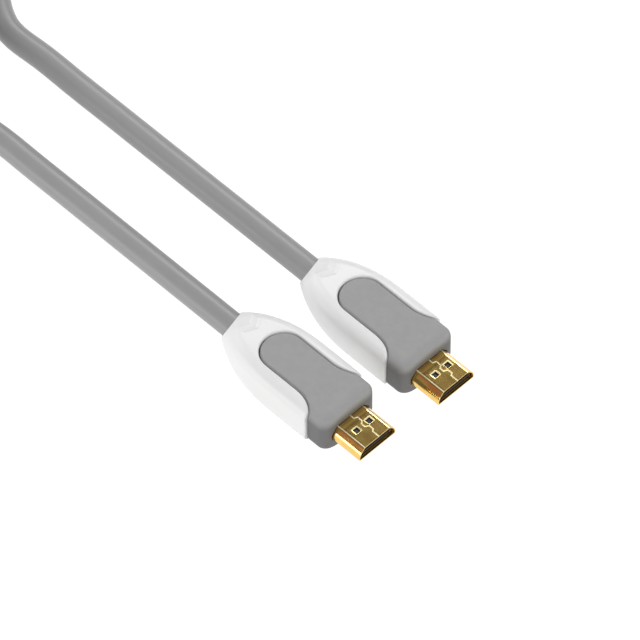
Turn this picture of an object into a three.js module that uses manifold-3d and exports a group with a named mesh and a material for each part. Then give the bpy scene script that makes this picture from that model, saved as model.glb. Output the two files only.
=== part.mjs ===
// A digital picture and sound cable: a thick round grey lead with the same flat
// nineteen-contact plug on each end. It lies on a level surface as it is put down: both
// plugs side by side, the lead straight behind them, and its spare length wound into a coil.
//
// Units are millimetres. +X runs along the plugs to their tips, +Y from plug a to plug b and
// +Z up. The origin is on the surface, under the middle of the two plugs.

import * as THREE from 'three';
import { mergeVertices } from 'three/addons/utils/BufferGeometryUtils.js';
import Module from 'manifold-3d';

const wasm = await Module();
wasm.setup();

// Where the two plugs lie
const plugSpacing = 28.6; // between the two plugs' centre lines
const plugStagger = 1.9; // plug b lies this much further forward

// White cover, measured from its mouth, where the lead goes in
const coverHalfWidth = 11.0;
const coverHalfHeight = 7.3;
const coverCorner = 4.0; // radius of its long edges
const coverWall = 1.6; // of the two arms
const coverReach = 39.6; // mouth to the front ends of the arms
const mouthHalf = 4.45; // half of the neck's size at the mouth
const mouthCornerInset = 0.25; // leaves the mouth a hair off round
const mouthSlant = 0.41; // its top stands forward by this share of the height
const mouthLean = 0.22; // and its -y side by this share of the width
const mouthOverhang = 2.1; // so its lowest corner reaches this far behind its middle
const mouthFade = 10; // over which the slant dies away
const neckLength = 27; // over which it reaches its full width
const crownLength = 20; // over which it reaches its full height
const neckFullness = 2.5; // exponent of the bullet shape
const boreDepth = 9; // how far the lead goes in

// Window in the cover, which shows the grey body, the same above and below
const windowHalf = 6.8;
const windowRear = 13.6; // mouth to its round rear end
const flareLength = 7.6; // where its sides turn out along the arms' ends

// Grey body
const bodyFront = 46.3; // mouth to the body's front face
const bodyHalfWidth = 10.05; // in front of the arms
const bodyHalfHeight = 7.1; // in front of the arms
const bodyCorner = 3.4;
const bodyNoseRound = 2.8; // radius of its front corners, seen from above
const bodyNoseDrop = 1.3; // how much lower its front face's edge is than its top
const pocketHalfHeight = 4.6; // room between the arms' lips
const pocketRear = 20;
const pocketCorner = 1.5;

// Connector shell of thin plated sheet, with its narrow side up
const shellHalfWidth = 6.95;
const shellHalfHeight = 2.225;
const shellNarrowHalf = 4.95; // half-width of the narrow side
const shellShoulder = -0.1; // height where the slanted sides start
const shellCorner = 0.55;
const shellWall = 0.3;
const shellReach = 10.3; // length in front of the grey body
const shellSeat = 3.2; // length inside it
const latchSize = 1.8; // the square latch holes
const latchBack = 5.6; // tip to the middle of the latch holes
const latchHalfSpan = 2.4;

// Insulator block and its contacts
const insulatorRecess = 1.0; // behind the shell's tip
const slotHalfWidth = 5.7;
const slotHeight = 1.7;
const slotDepth = 9;
const contactPitch = 1.0;
const contactWidth = 0.42;
const contactThickness = 0.2;
const contactLength = 7.8;
const contactRecess = 0.5; // behind the insulator's front
const longRowCount = 10; // on the wide side
const shortRowCount = 9; // on the narrow side

// Lead
const leadDiameter = 7.7;
const leadSides = 12;
const leadStep = 15; // length of one facet along it
const coilHalfWidth = 42.4; // outside radius of the wound ring
const coilLanes = 6; // strands side by side around the bundle's middle
const coilCentreX = -194.35;
const coilRingSteps = 48;
const coilSectionSides = 14;

// Clearances
const gap = 0.3; // between neighbouring pieces
const fitGap = 0.2; // between the shell and the insulator
const contactGap = 0.1; // between a contact and the insulator

// How finely the shapes are faceted
const cornerSteps = 5;
const coverStations = 15;
const stationExponent = 1.5; // crowds the cover's stations towards its mouth
const bodyStations = 9;
const arcSteps = 10;
const boreSides = 24;

const overrun = 1; // how far a cutter runs past what it cuts
const weldDistance = 1e-4; // points nearer than this are one
const leastRadius = 0.1;

const plugLength = bodyFront + shellReach;
const axisHeight = coverHalfHeight;
const mouthX = (mouthOverhang - plugLength - plugStagger) / 2;
const shellTip = plugLength;
const armEnd = coverHalfWidth + 3; // safely beyond the cover's side

// The lead's route outside the coil, chosen by hand. Each run starts inside its plug.
const runPointsA = [
  [-19.45, -14.3, 7.3],
  [-28.25, -14.3, 7.3],
  [-40.95, -14.25, 7.2],
  [-54.95, -13.98, 6.7],
  [-68.95, -13.56, 5.9],
  [-82.95, -13.13, 5.1],
  [-96.95, -12.76, 4.4],
  [-110.95, -12.55, 4.0],
  [-120.95, -12.5, 3.95],
  [-132.95, -14.2, 4.8],
  [-144.95, -18.2, 6.4],
  [-157.45, -24.0, 8.4],
  [-169.05, -30.5, 10.2],
  [-180.95, -36.1, 11.1],
  [-194.35, -38.55, 11.55],
];
const runPointsB = [
  [-17.55, 14.3, 7.3],
  [-26.35, 14.3, 7.3],
  [-38.95, 14.35, 7.2],
  [-52.95, 14.62, 6.7],
  [-66.95, 15.04, 5.9],
  [-80.95, 15.47, 5.1],
  [-94.95, 15.84, 4.4],
  [-108.95, 16.05, 4.0],
  [-122.95, 16.1, 3.9],
  [-136.95, 16.1, 3.9],
  [-148.95, 16.3, 4.1],
  [-157.95, 20.8, 5.4],
  [-168.45, 29.2, 7.3],
  [-181.15, 35.5, 7.8],
  [-194.35, 37.5, 7.7],
];
const splitLength = 130; // along each run, where its tube ends and the coil's solid begins

// Materials
const finish = (color, roughness, metalness) =>
  new THREE.MeshStandardMaterial({ color, roughness, metalness });
const whitePlastic = finish(0xf2f2f1, 0.35, 0);
const greyPlastic = finish(0x949595, 0.75, 0);
const goldPlate = finish(0xd8b24c, 0.2, 1);
const blackPlastic = finish(0x18191b, 0.5, 0);
const greyJacket = finish(0x8f8f8f, 0.55, 0);

// Solids from three.js geometry, and back again
function solidOf(geometry) {
  const bare = geometry.clone();
  bare.deleteAttribute('normal');
  bare.deleteAttribute('uv');
  const merged = mergeVertices(bare, weldDistance);
  return new wasm.Manifold(new wasm.Mesh({
    numProp: 3,
    vertProperties: new Float32Array(merged.attributes.position.array),
    triVerts: new Uint32Array(merged.index.array),
  }));
}

function geometryOf(solid) {
  const mesh = solid.getMesh();
  const geometry = new THREE.BufferGeometry();
  geometry.setAttribute('position', new THREE.BufferAttribute(mesh.vertProperties, 3));
  geometry.setIndex(new THREE.BufferAttribute(mesh.triVerts, 1));
  geometry.computeVertexNormals();
  return geometry;
}

// A flat outline in Y and Z, carried along X from one place to another
function barAlongX(shape, fromX, toX) {
  const geometry = new THREE.ExtrudeGeometry(shape, {
    depth: toX - fromX, bevelEnabled: false, curveSegments: cornerSteps,
  });
  const turn = new THREE.Matrix4().makeBasis(
    new THREE.Vector3(0, 1, 0), new THREE.Vector3(0, 0, 1), new THREE.Vector3(1, 0, 0));
  return geometry.applyMatrix4(turn).translate(fromX, 0, 0);
}

// A plan outline in X and Y, carried along Z through the whole plug
function prismAlongZ(shape, halfHeight) {
  const geometry = new THREE.ExtrudeGeometry(shape, {
    depth: 2 * halfHeight, bevelEnabled: false, curveSegments: arcSteps,
  });
  return geometry.translate(0, 0, -halfHeight);
}

function box(fromX, toX, fromY, toY, fromZ, toZ) {
  return new THREE.BoxGeometry(toX - fromX, toY - fromY, toZ - fromZ)
    .translate((fromX + toX) / 2, (fromY + toY) / 2, (fromZ + toZ) / 2);
}

// A rectangle with round corners, as one ring of points in Y and Z
function roundedRing(halfWidth, halfHeight, radius) {
  const ring = [];
  const corners = [[1, 1, 0], [-1, 1, 1], [-1, -1, 2], [1, -1, 3]];
  for (const [sideY, sideZ, quarter] of corners) {
    for (let step = 0; step <= cornerSteps; step += 1) {
      const angle = (quarter + step / cornerSteps) * Math.PI / 2;
      ring.push([
        sideY * (halfWidth - radius) + radius * Math.cos(angle),
        sideZ * (halfHeight - radius) + radius * Math.sin(angle),
      ]);
    }
  }
  return ring;
}

// A closed skin over rings of points, each ring a list of [x, y, z]
function loft(rings) {
  const count = rings[0].length;
  const positions = rings.flat(2);
  const index = [];
  for (let row = 0; row + 1 < rings.length; row += 1) {
    for (let k = 0; k < count; k += 1) {
      const a = row * count + k;
      const b = row * count + (k + 1) % count;
      index.push(a, b, b + count, a, b + count, a + count);
    }
  }
  for (const [row, forward] of [[0, false], [rings.length - 1, true]]) {
    const centre = positions.length / 3;
    const middle = rings[row].reduce((sum, point) => sum.map((v, i) => v + point[i] / count), [0, 0, 0]);
    positions.push(...middle);
    for (let k = 0; k < count; k += 1) {
      const a = row * count + k;
      const b = row * count + (k + 1) % count;
      index.push(centre, forward ? a : b, forward ? b : a);
    }
  }
  const geometry = new THREE.BufferGeometry();
  geometry.setAttribute('position', new THREE.Float32BufferAttribute(positions, 3));
  geometry.setIndex(index);
  return geometry;
}

// Bullet shape: how far the cover has grown from its mouth to its full size
const growth = (x, length) => 1 - (1 - Math.min(x / length, 1)) ** neckFullness;

function coverSize(x) {
  const wide = growth(x, neckLength);
  const tall = growth(x, crownLength);
  const halfHeight = THREE.MathUtils.lerp(mouthHalf, coverHalfHeight, tall);
  const inset = THREE.MathUtils.lerp(mouthCornerInset, coverHalfHeight - coverCorner, wide);
  return {
    halfWidth: THREE.MathUtils.lerp(mouthHalf, coverHalfWidth, wide),
    halfHeight,
    radius: halfHeight - inset,
  };
}

function coverRing(x) {
  const { halfWidth, halfHeight, radius } = coverSize(x);
  const fade = 1 - growth(x, mouthFade);
  return roundedRing(halfWidth, halfHeight, radius)
    .map(([y, z]) => [x + fade * (mouthSlant * z - mouthLean * y), y, z]);
}

// Plan of the window: a round rear end, straight sides, then a flare along the arms' ends
function windowPlan(clearance) {
  const half = windowHalf - clearance;
  const centreX = windowRear + clearance + half;
  const front = coverReach + clearance;
  const flareStart = front - flareLength;
  const flareHalf = coverHalfWidth - half;
  const farX = shellTip;
  const plan = new THREE.Shape();
  plan.moveTo(centreX, half);
  plan.absarc(centreX, 0, half, Math.PI / 2, 3 * Math.PI / 2, false);
  plan.lineTo(flareStart, -half);
  plan.absellipse(flareStart, -coverHalfWidth, flareLength, flareHalf, Math.PI / 2, 0, true);
  plan.lineTo(front, -armEnd);
  plan.lineTo(farX, -armEnd);
  plan.lineTo(farX, armEnd);
  plan.lineTo(front, armEnd);
  plan.lineTo(front, coverHalfWidth);
  plan.absellipse(flareStart, coverHalfWidth, flareLength, flareHalf, 0, -Math.PI / 2, true);
  plan.closePath();
  return plan;
}

function roundedPlan(halfWidth, halfHeight, radius) {
  const plan = new THREE.Shape();
  plan.moveTo(halfWidth, -halfHeight + radius);
  plan.lineTo(halfWidth, halfHeight - radius);
  plan.absarc(halfWidth - radius, halfHeight - radius, radius, 0, Math.PI / 2, false);
  plan.lineTo(-halfWidth + radius, halfHeight);
  plan.absarc(-halfWidth + radius, halfHeight - radius, radius, Math.PI / 2, Math.PI, false);
  plan.lineTo(-halfWidth, -halfHeight + radius);
  plan.absarc(-halfWidth + radius, -halfHeight + radius, radius, Math.PI, 1.5 * Math.PI, false);
  plan.lineTo(halfWidth - radius, -halfHeight);
  plan.absarc(halfWidth - radius, -halfHeight + radius, radius, 1.5 * Math.PI, 2 * Math.PI, false);
  return plan;
}

// The room between the arms for the body's core, smaller by a clearance
function pocketBar(clearance, toX) {
  const halfWidth = coverHalfWidth - coverWall - clearance;
  const plan = roundedPlan(halfWidth, pocketHalfHeight - clearance, pocketCorner);
  return barAlongX(plan, pocketRear + clearance, toX);
}

function buildCover() {
  const rings = [];
  for (let k = 0; k <= coverStations; k += 1) {
    const x = neckLength * (k / coverStations) ** stationExponent;
    rings.push(coverRing(x));
  }
  rings.push(coverRing(coverReach));
  const outer = solidOf(loft(rings));
  const opening = solidOf(prismAlongZ(windowPlan(0), coverHalfHeight + overrun));
  const pocket = solidOf(pocketBar(0, shellTip));
  const boreRadius = leadDiameter / 2 + gap;
  const bore = solidOf(new THREE.CylinderGeometry(boreRadius, boreRadius, boreDepth + mouthHalf, boreSides)
    .rotateZ(Math.PI / 2).translate((boreDepth - mouthHalf) / 2, 0, 0));
  return geometryOf(outer.subtract(opening).subtract(pocket).subtract(bore));
}

// The body's outside: as tall as the cover in the window, lower and narrower past the arms,
// and rounded down to its front face
function bodyRing(x) {
  const step = THREE.MathUtils.smoothstep(x, coverReach - flareLength, coverReach);
  const cover = coverSize(x);
  const nose = Math.max(0, (x - (bodyFront - bodyNoseRound)) / bodyNoseRound);
  const turn = 1 - Math.sqrt(Math.max(0, 1 - nose * nose));
  const halfWidth = THREE.MathUtils.lerp(cover.halfWidth, bodyHalfWidth, step) - bodyNoseRound * turn;
  const halfHeight = THREE.MathUtils.lerp(cover.halfHeight, bodyHalfHeight, step) - bodyNoseDrop * turn;
  const radius = Math.min(THREE.MathUtils.lerp(cover.radius, bodyCorner, step), halfHeight - mouthCornerInset);
  return roundedRing(halfWidth, halfHeight, radius).map(([y, z]) => [x, y, z]);
}

// The shell's outline, narrow side up, smaller all round by an inset
function shellPlan(inset) {
  const slant = Math.atan2(shellHalfHeight - shellShoulder, shellHalfWidth - shellNarrowHalf);
  const wide = shellHalfWidth - inset;
  const high = shellHalfHeight - inset;
  const shoulder = shellShoulder - inset * Math.tan((Math.PI / 2 - slant) / 2);
  const narrow = shellNarrowHalf - inset * Math.tan(slant / 2);
  const radius = Math.max(shellCorner - inset, leastRadius);
  const corners = [[wide, -high], [wide, shoulder], [narrow, high], [-narrow, high], [-wide, shoulder], [-wide, -high]];
  const plan = new THREE.Shape();
  corners.forEach((corner, k) => {
    const here = new THREE.Vector2(...corner);
    const before = new THREE.Vector2(...corners[(k + 5) % 6]).sub(here).setLength(radius).add(here);
    const after = new THREE.Vector2(...corners[(k + 1) % 6]).sub(here).setLength(radius).add(here);
    if (k === 0) plan.moveTo(before.x, before.y);
    else plan.lineTo(before.x, before.y);
    plan.quadraticCurveTo(here.x, here.y, after.x, after.y);
  });
  plan.closePath();
  return plan;
}

const shellRear = bodyFront - shellSeat;
const insulatorFront = shellTip - insulatorRecess;

function buildBody() {
  const rings = [];
  const noseStart = bodyFront - bodyNoseRound;
  for (let k = 0; k < bodyStations; k += 1) {
    rings.push(bodyRing(THREE.MathUtils.lerp(windowRear, noseStart, k / bodyStations)));
  }
  for (let k = 0; k <= cornerSteps; k += 1) {
    rings.push(bodyRing(noseStart + bodyNoseRound * Math.sin(k / cornerSteps * Math.PI / 2)));
  }
  const outer = solidOf(loft(rings));
  const raised = outer.intersect(solidOf(prismAlongZ(windowPlan(gap), coverHalfHeight + overrun)));
  const core = solidOf(pocketBar(gap, noseStart));
  const socket = solidOf(barAlongX(shellPlan(-gap), shellRear - gap, shellTip));
  return geometryOf(raised.add(core).subtract(socket));
}

function buildShell() {
  const latchX = shellTip - latchBack;
  const half = latchSize / 2;
  let shell = solidOf(barAlongX(shellPlan(0), shellRear, shellTip))
    .subtract(solidOf(barAlongX(shellPlan(shellWall), shellRear - overrun, shellTip + overrun)));
  for (const side of [-1, 1]) {
    const y = side * latchHalfSpan;
    shell = shell.subtract(solidOf(box(latchX - half, latchX + half, y - half, y + half,
      -shellHalfHeight - overrun, shellHalfHeight + overrun)));
  }
  return geometryOf(shell);
}

function buildInsulator() {
  const block = solidOf(barAlongX(shellPlan(shellWall + fitGap), shellRear, insulatorFront));
  const slot = solidOf(box(insulatorFront - slotDepth, insulatorFront + overrun,
    -slotHalfWidth, slotHalfWidth, -slotHeight / 2, slotHeight / 2));
  return geometryOf(block.subtract(slot));
}

// Contacts in two rows, half a pitch apart, the long row on the wide side
function contactBoxes() {
  const boxes = [];
  const toX = insulatorFront - contactRecess;
  for (const [row, count, side] of [['wide', longRowCount, -1], ['narrow', shortRowCount, 1]]) {
    for (let k = 0; k < count; k += 1) {
      const y = (k - (count - 1) / 2) * contactPitch;
      const outer = side * (slotHeight / 2 - contactGap);
      const inner = outer - side * contactThickness;
      boxes.push([`${row}_${k + 1}`, box(toX - contactLength, toX, y - contactWidth / 2,
        y + contactWidth / 2, Math.min(inner, outer), Math.max(inner, outer))]);
    }
  }
  return boxes;
}

function named(name, geometry, material) {
  const mesh = new THREE.Mesh(geometry, material);
  mesh.name = name;
  return mesh;
}

function buildPlug(letter) {
  const plug = new THREE.Group();
  plug.add(named(`plug_${letter}_cover`, buildCover(), whitePlastic));
  plug.add(named(`plug_${letter}_body`, buildBody(), greyPlastic));
  plug.add(named(`plug_${letter}_shell`, buildShell(), goldPlate));
  plug.add(named(`plug_${letter}_insulator`, buildInsulator(), blackPlastic));
  for (const [name, geometry] of contactBoxes()) {
    plug.add(named(`plug_${letter}_contact_${name}`, geometry, goldPlate));
  }
  return plug;
}

// Part of a curve, between two lengths along it
class Stretch extends THREE.Curve {
  constructor(whole, from, to) {
    super();
    this.whole = whole;
    this.from = from / whole.getLength();
    this.to = to / whole.getLength();
  }

  getPoint(t) {
    return this.whole.getPointAt(THREE.MathUtils.lerp(this.from, this.to, t));
  }
}

function leadTube(curve) {
  const section = new THREE.Shape();
  section.absarc(0, 0, leadDiameter / 2, 0, 2 * Math.PI, false);
  return new THREE.ExtrudeGeometry(section, {
    steps: Math.max(2, Math.round(curve.getLength() / leadStep)),
    extrudePath: curve,
    curveSegments: leadSides,
  });
}

// Each lane of the bundle is one lead's width from the next, round the bundle's middle
const laneRadius = leadDiameter / (2 * Math.sin(Math.PI / coilLanes));
const bundleRadius = laneRadius + leadDiameter / 2;
const coilMeanRadius = coilHalfWidth - bundleRadius;

function buildCoil(tails) {
  const section = [];
  for (let k = 0; k <= coilSectionSides; k += 1) {
    const angle = 2 * Math.PI * k / coilSectionSides - Math.PI / 2;
    section.push(new THREE.Vector2(
      coilMeanRadius + bundleRadius * Math.cos(angle), bundleRadius * (1 + Math.sin(angle))));
  }
  const ring = new THREE.LatheGeometry(section, coilRingSteps).rotateX(Math.PI / 2);
  let coil = solidOf(ring.translate(coilCentreX, 0, 0));
  for (const tail of tails) coil = coil.add(solidOf(leadTube(tail)));
  return geometryOf(coil);
}

const cable = new THREE.Group();

const plugA = buildPlug('a');
plugA.position.set(mouthX, -plugSpacing / 2, axisHeight);
cable.add(plugA);

const plugB = buildPlug('b');
plugB.position.set(mouthX + plugStagger, plugSpacing / 2, axisHeight);
cable.add(plugB);

const curveThrough = (points) =>
  new THREE.CatmullRomCurve3(points.map((point) => new THREE.Vector3(...point)), false, 'centripetal');
const routeA = curveThrough(runPointsA);
const routeB = curveThrough(runPointsB);
cable.add(named('lead_run_a', leadTube(new Stretch(routeA, 0, splitLength - gap)), greyJacket));
cable.add(named('lead_run_b', leadTube(new Stretch(routeB, 0, splitLength - gap)), greyJacket));
const tails = [routeA, routeB].map((route) => new Stretch(route, splitLength, route.getLength()));
cable.add(named('lead_coil', buildCoil(tails), greyJacket));

export default cable;
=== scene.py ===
"""Looks of a picture and sound cable: a grey lead with the same flat plug on each end.

Lengths are metres. Each plug is described in its own plug frame, with x from the mouth of its
white cover to the connector's tip, y across and z up from its axis, and is then placed by the
box of its node in the frame.
"""

from __future__ import annotations

import logging
from collections.abc import Mapping
from dataclasses import dataclass
from enum import Enum

import bmesh
import bpy
import numpy as np
from mathutils import Matrix, Vector

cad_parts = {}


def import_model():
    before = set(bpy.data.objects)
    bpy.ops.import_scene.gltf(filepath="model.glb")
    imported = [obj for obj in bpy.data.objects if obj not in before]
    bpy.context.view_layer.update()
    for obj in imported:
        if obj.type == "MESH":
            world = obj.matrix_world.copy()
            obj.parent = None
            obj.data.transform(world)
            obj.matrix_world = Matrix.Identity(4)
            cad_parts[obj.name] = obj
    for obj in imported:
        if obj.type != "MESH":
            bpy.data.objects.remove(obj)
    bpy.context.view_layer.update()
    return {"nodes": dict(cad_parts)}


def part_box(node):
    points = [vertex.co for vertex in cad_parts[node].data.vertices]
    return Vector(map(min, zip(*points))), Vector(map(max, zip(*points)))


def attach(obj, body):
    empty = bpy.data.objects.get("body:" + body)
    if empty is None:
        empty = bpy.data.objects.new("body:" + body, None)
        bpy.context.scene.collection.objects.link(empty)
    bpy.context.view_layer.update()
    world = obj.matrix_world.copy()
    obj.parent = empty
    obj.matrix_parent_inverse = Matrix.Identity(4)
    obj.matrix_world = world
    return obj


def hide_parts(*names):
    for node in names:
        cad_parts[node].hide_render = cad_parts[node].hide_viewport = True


Array = np.ndarray
Colour = tuple[float, float, float]
Spot = tuple[float, float, float]
MM = 0.001
EDGE_HIGHLIGHT = "painted_edge_highlight"  # 1 along the shell's seam, latch holes and folds: painted highlight, a lighter colour where the plate's edges catch light, and a rougher finish
UV_MAP = "round_and_along"
TINY = 1e-9
log = logging.getLogger("cable")


class Slot(Enum):
    """The material slots, one for each finish."""

    COVER = "white_cover"
    BODY = "grey_body"
    SHELL = "gold_shell"
    INSULATOR = "black_insulator"
    CONTACTS = "gold_contacts"
    JACKET = "grey_jacket"


# Shader maths

MIX_FIRST, MIX_SECOND, MIX_RESULT = 6, 7, 2  # the colour sockets of a Mix node


class Term:
    """A number in a node tree, so that node maths reads as Python maths."""

    def __init__(self, paint: Paint, socket: bpy.types.NodeSocket) -> None:
        """Wraps one output socket.

        Args:
            paint: the material that the socket belongs to.
            socket: the output socket.
        """
        self.paint = paint
        self.socket = socket

    def _with(self, operation: str, first: object, second: object) -> Term:
        """Adds one Math node.

        Args:
            operation: the Math node's operation.
            first: its first value, a Term or a number.
            second: its second value, a Term or a number.

        Returns:
            The node's result.
        """
        made = self.paint.node("ShaderNodeMath", {"operation": operation}, {0: first, 1: second})
        return Term(self.paint, made.outputs[0])

    def __add__(self, other: object) -> Term:
        """self + other."""
        return self._with("ADD", self, other)

    def __radd__(self, other: object) -> Term:
        """other + self."""
        return self._with("ADD", other, self)

    def __sub__(self, other: object) -> Term:
        """self - other."""
        return self._with("SUBTRACT", self, other)

    def __mul__(self, other: object) -> Term:
        """self * other."""
        return self._with("MULTIPLY", self, other)


class Paint:
    """One procedural material, built node by node."""

    def __init__(self, name: str) -> None:
        """Starts an empty material with an output.

        Args:
            name: the material's name.
        """
        self.material = bpy.data.materials.new(name)
        self.material.use_nodes = True
        self.tree = self.material.node_tree
        self.tree.nodes.clear()
        self.output = self.node("ShaderNodeOutputMaterial")

    def node(
        self,
        kind: str,
        settings: Mapping[str, object] | None = None,
        inputs: Mapping[str | int, object] | None = None,
    ) -> bpy.types.Node:
        """Adds a node.

        Args:
            kind: the node's type.
            settings: what is set on the node first.
            inputs: a Term, a socket or a plain value for each named or numbered input.

        Returns:
            The node.
        """
        made = self.tree.nodes.new(kind)
        for key, value in (settings or {}).items():
            setattr(made, key, value)
        for key, value in (inputs or {}).items():
            if isinstance(value, Term):
                value = value.socket
            if isinstance(value, bpy.types.NodeSocket):
                self.tree.links.new(value, made.inputs[key])
            else:
                made.inputs[key].default_value = value
        return made

    def term(self, node: bpy.types.Node, output: str | int = 0) -> Term:
        """One output of a node as a Term."""
        return Term(self, node.outputs[output])

    def place(self) -> bpy.types.NodeSocket:
        """The point on the object, in metres."""
        return self.node("ShaderNodeTexCoord").outputs["Object"]

    def noise(self, size: float, detail: float = 2.0, where: object = None) -> Term:
        """Smooth noise from 0 to 1.

        Args:
            size: the width of its blotches in metres.
            detail: how many finer octaves it has.
            where: the coordinates that it reads, or the point on the object.

        Returns:
            The noise.
        """
        spots = self.node(
            "ShaderNodeTexNoise",
            {"noise_dimensions": "3D"},
            {"Vector": where or self.place(), "Scale": 1.0 / size, "Detail": detail},
        )
        return self.term(spots, "Fac")

    def stretched(self, where: bpy.types.NodeSocket, scale: Spot) -> bpy.types.NodeSocket:
        """Coordinates that are scaled along each axis.

        Args:
            where: the coordinates.
            scale: the three factors.

        Returns:
            The scaled coordinates.
        """
        made = self.node("ShaderNodeMapping", {"vector_type": "POINT"}, {"Vector": where, "Scale": scale})
        return made.outputs[0]

    def mix(
        self, factor: Term, first: bpy.types.NodeSocket | Colour, second: Colour
    ) -> bpy.types.NodeSocket:
        """A colour between two.

        Args:
            factor: 0 for the first colour and 1 for the second.
            first: the first colour.
            second: the second colour.

        Returns:
            The mixed colour.
        """
        if isinstance(first, tuple):
            first = (*first, 1.0)
        values = {"Factor": factor, MIX_FIRST: first, MIX_SECOND: (*second, 1.0)}
        return self.node("ShaderNodeMix", {"data_type": "RGBA"}, values).outputs[MIX_RESULT]

    def scaled(self, colour: bpy.types.NodeSocket, factor: Term) -> bpy.types.NodeSocket:
        """A colour times a number.

        Args:
            colour: the colour.
            factor: the number.

        Returns:
            The scaled colour.
        """
        values = {"Vector": colour, "Scale": factor}
        return self.node("ShaderNodeVectorMath", {"operation": "SCALE"}, values).outputs[0]

    def height(self, low: float, high: float) -> Term:
        """0 at and below one height, 1 at and above another, and smooth between them.

        Args:
            low: the lower height in metres.
            high: the upper height in metres.

        Returns:
            The share.
        """
        parts = self.node("ShaderNodeSeparateXYZ", None, {"Vector": self.place()})
        mapped = self.node(
            "ShaderNodeMapRange", {"interpolation_type": "SMOOTHSTEP"},
            {"Value": parts.outputs["Z"], "From Min": low, "From Max": high},
        )
        return self.term(mapped)

    def stored(self, attribute: str) -> Term:
        """A value that the mesh stores for each point."""
        return self.term(self.node("ShaderNodeAttribute", {"attribute_name": attribute}), "Fac")

    def finish(self, surface: Mapping[str, object], relief: Term, depth: float) -> bpy.types.Material:
        """Ends the material in one Principled shader with a bump.

        Args:
            surface: the shader's inputs.
            relief: the bump's height from 0 to 1.
            depth: the height in metres that 1 stands for.

        Returns:
            The material.
        """
        bump = self.node("ShaderNodeBump", None, {"Height": relief, "Distance": depth, "Strength": 1.0})
        shader = self.node("ShaderNodeBsdfPrincipled", None, {**surface, "Normal": bump.outputs[0]})
        self.tree.links.new(shader.outputs[0], self.output.inputs["Surface"])
        return self.material


# Finishes


@dataclass(frozen=True)
class MouldedPlastic:
    """A moulded plastic, with its grain and faint mottling, and where asked painted shade that darkens its
    colour below its top.
    """

    name: str
    dark: Colour
    light: Colour
    roughness: float
    roughness_change: float
    mottle_size: float
    grain_size: float
    grain_depth: float
    grain_share: float = 0.3
    wear_scale: float = 0.4
    specular: float = 0.5
    # Painted shade: below the lower of the two heights the colour is scaled by this factor, rising smoothly
    # to full colour at the upper height.
    painted_shade_factor: float = 1.0
    painted_shade_low: float = 10.0 * MM
    painted_shade_high: float = 13.6 * MM

    def material(self) -> bpy.types.Material:
        """The material, whose colour may be darkened below its top as painted shade on the sides."""
        paint = Paint(self.name)
        mottle = paint.noise(self.mottle_size, 3.0)
        grain = paint.noise(self.grain_size, 2.0)
        wear = paint.noise(self.mottle_size * self.wear_scale, 1.0)
        spots = mottle * (1.0 - self.grain_share) + grain * self.grain_share
        colour = paint.mix(spots, self.dark, self.light)
        # Painted shade: the colour is darkened below the top so that the sides read as less lit.
        if self.painted_shade_factor < 1.0:
            height = paint.height(self.painted_shade_low, self.painted_shade_high)
            colour = paint.scaled(colour, height * (1.0 - self.painted_shade_factor) + self.painted_shade_factor)
        surface = {
            "Base Color": colour,
            "Roughness": self.roughness + (wear - 0.5) * self.roughness_change,
            "Specular IOR Level": self.specular,
        }
        return paint.finish(surface, grain, self.grain_depth)


@dataclass(frozen=True)
class GoldPlate:
    """Polished gold plate over pressed sheet."""

    name: str
    dark: Colour = (0.80, 0.50, 0.13)
    light: Colour = (0.95, 0.68, 0.24)
    roughness: float = 0.14
    roughness_change: float = 0.10
    scratch_length: float = 6 * MM
    scratch_width: float = 0.12 * MM
    smear_size: float = 2.5 * MM
    smear_share: float = 0.6
    relief_depth: float = 0.004 * MM
    # Painted highlight along the shell's edge lines: a pale colour where light catches the edges, and added
    # roughness.
    highlight_colour: Colour = (1.0, 0.93, 0.62)
    highlight_roughness: float = 0.5

    def material(self) -> bpy.types.Material:
        """The material, with fine marks along the way that the plug is pushed in, and painted highlights
        along the shell's edge lines.
        """
        paint = Paint(self.name)
        ratio = self.scratch_width / self.scratch_length
        marks = paint.noise(self.scratch_width, 2.0, paint.stretched(paint.place(), (ratio, 1.0, 1.0)))
        smears = paint.noise(self.smear_size, 3.0)
        highlight = paint.stored(EDGE_HIGHLIGHT)
        wear = smears * self.smear_share + marks * (1.0 - self.smear_share) - 0.5
        # Painted highlight: the colour is mixed toward pale cream along the stored edge lines; those lines
        # are also rougher.
        surface = {
            "Base Color": paint.mix(highlight, paint.mix(smears, self.dark, self.light), self.highlight_colour),
            "Metallic": 1.0,
            "Roughness": self.roughness + wear * self.roughness_change + highlight * self.highlight_roughness,
        }
        return paint.finish(surface, marks * 0.5 + smears * 0.5, self.relief_depth)


@dataclass(frozen=True)
class VinylJacket:
    """Smooth flexible vinyl, with the faint lengthwise lines of its extrusion."""

    name: str
    dark: Colour
    light: Colour
    roughness: float = 0.40
    roughness_change: float = 0.08
    line_width: float = 0.5 * MM
    line_length: float = 60 * MM
    line_share: float = 0.4
    cloud_size: float = 9 * MM
    grain_size: float = 0.25 * MM
    relief_depth: float = 0.006 * MM
    specular: float = 0.5

    def material(self) -> bpy.types.Material:
        """The material; its UV map holds metres round and metres along."""
        paint = Paint(self.name)
        uv = paint.node("ShaderNodeUVMap", {"uv_map": UV_MAP}).outputs[0]
        ratio = self.line_width / self.line_length
        lines = paint.noise(self.line_width, 2.0, paint.stretched(uv, (1.0, ratio, 1.0)))
        cloud = paint.noise(self.cloud_size, 2.0)
        grain = paint.noise(self.grain_size, 2.0)
        spots = lines * self.line_share + cloud * (1.0 - self.line_share)
        surface = {
            "Base Color": paint.mix(spots, self.dark, self.light),
            "Roughness": self.roughness + (cloud - 0.5) * self.roughness_change,
            "Specular IOR Level": self.specular,
        }
        return paint.finish(surface, lines * 0.5 + grain * 0.5, self.relief_depth)


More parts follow.
